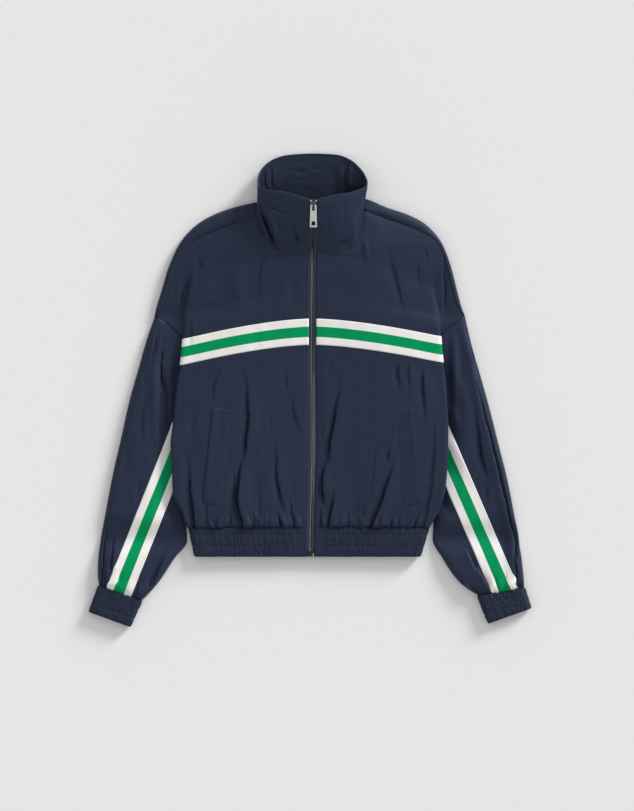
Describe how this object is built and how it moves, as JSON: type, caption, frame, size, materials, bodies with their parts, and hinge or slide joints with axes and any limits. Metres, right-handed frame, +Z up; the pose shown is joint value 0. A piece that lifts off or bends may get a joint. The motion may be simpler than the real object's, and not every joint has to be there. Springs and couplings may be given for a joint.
{
  "type": "windbreaker",
  "caption": "Navy zipped windbreaker with a stand collar, striped chest and sleeve tapes, gathered cuffs and hem, laid flat on a surface.",
  "frame": {"origin": "on the surface it lies on, under the middle of its outline", "axes": "+X to the wearer's left, +Y from hem to collar, +Z up from the surface, out of the garment's front"},
  "size_m": [0.6856, 0.7322, 0.0577],
  "materials": {
    "shell": "plain-woven navy nylon with a soft sheen",
    "band": "the same nylon gathered over elastic",
    "facing": "the same nylon inside the collar",
    "striped_tape": "woven tape, white, green and white",
    "zip_tape": "navy woven zip tape",
    "dark_metal": "dark plated zinc and brass",
    "bright_metal": "polished nickel plate"
  },
  "bodies": {
    "garment": {"front_left": "shell", "front_right": "shell", "back": "shell", "sleeve_left": "shell", "sleeve_right": "shell", "cuff_left": "band", "cuff_right": "band", "hem_band": "band", "collar": "shell", "collar_facing": "facing", "chest_tape_left": "striped_tape", "chest_tape_right": "striped_tape", "sleeve_tape_left": "striped_tape", "sleeve_tape_right": "striped_tape", "welt_left": "shell", "welt_right": "shell", "zip_tape_left": "zip_tape", "zip_tape_right": "zip_tape", "zip_chain": "dark_metal", "zip_slider": "dark_metal", "zip_stop_left": "dark_metal", "zip_stop_right": "dark_metal", "zip_box": "bright_metal"},
    "pull_tab": {"zip_pull": "bright_metal"}
  },
  "joints": [
    {"name": "pull", "type": "hinge", "parent": "garment", "child": "pull_tab", "pos_m": [0.00533, 0.28553, 0.05458], "axis": [-1, 0, 0], "range_deg": [0, 150]}
  ]
}
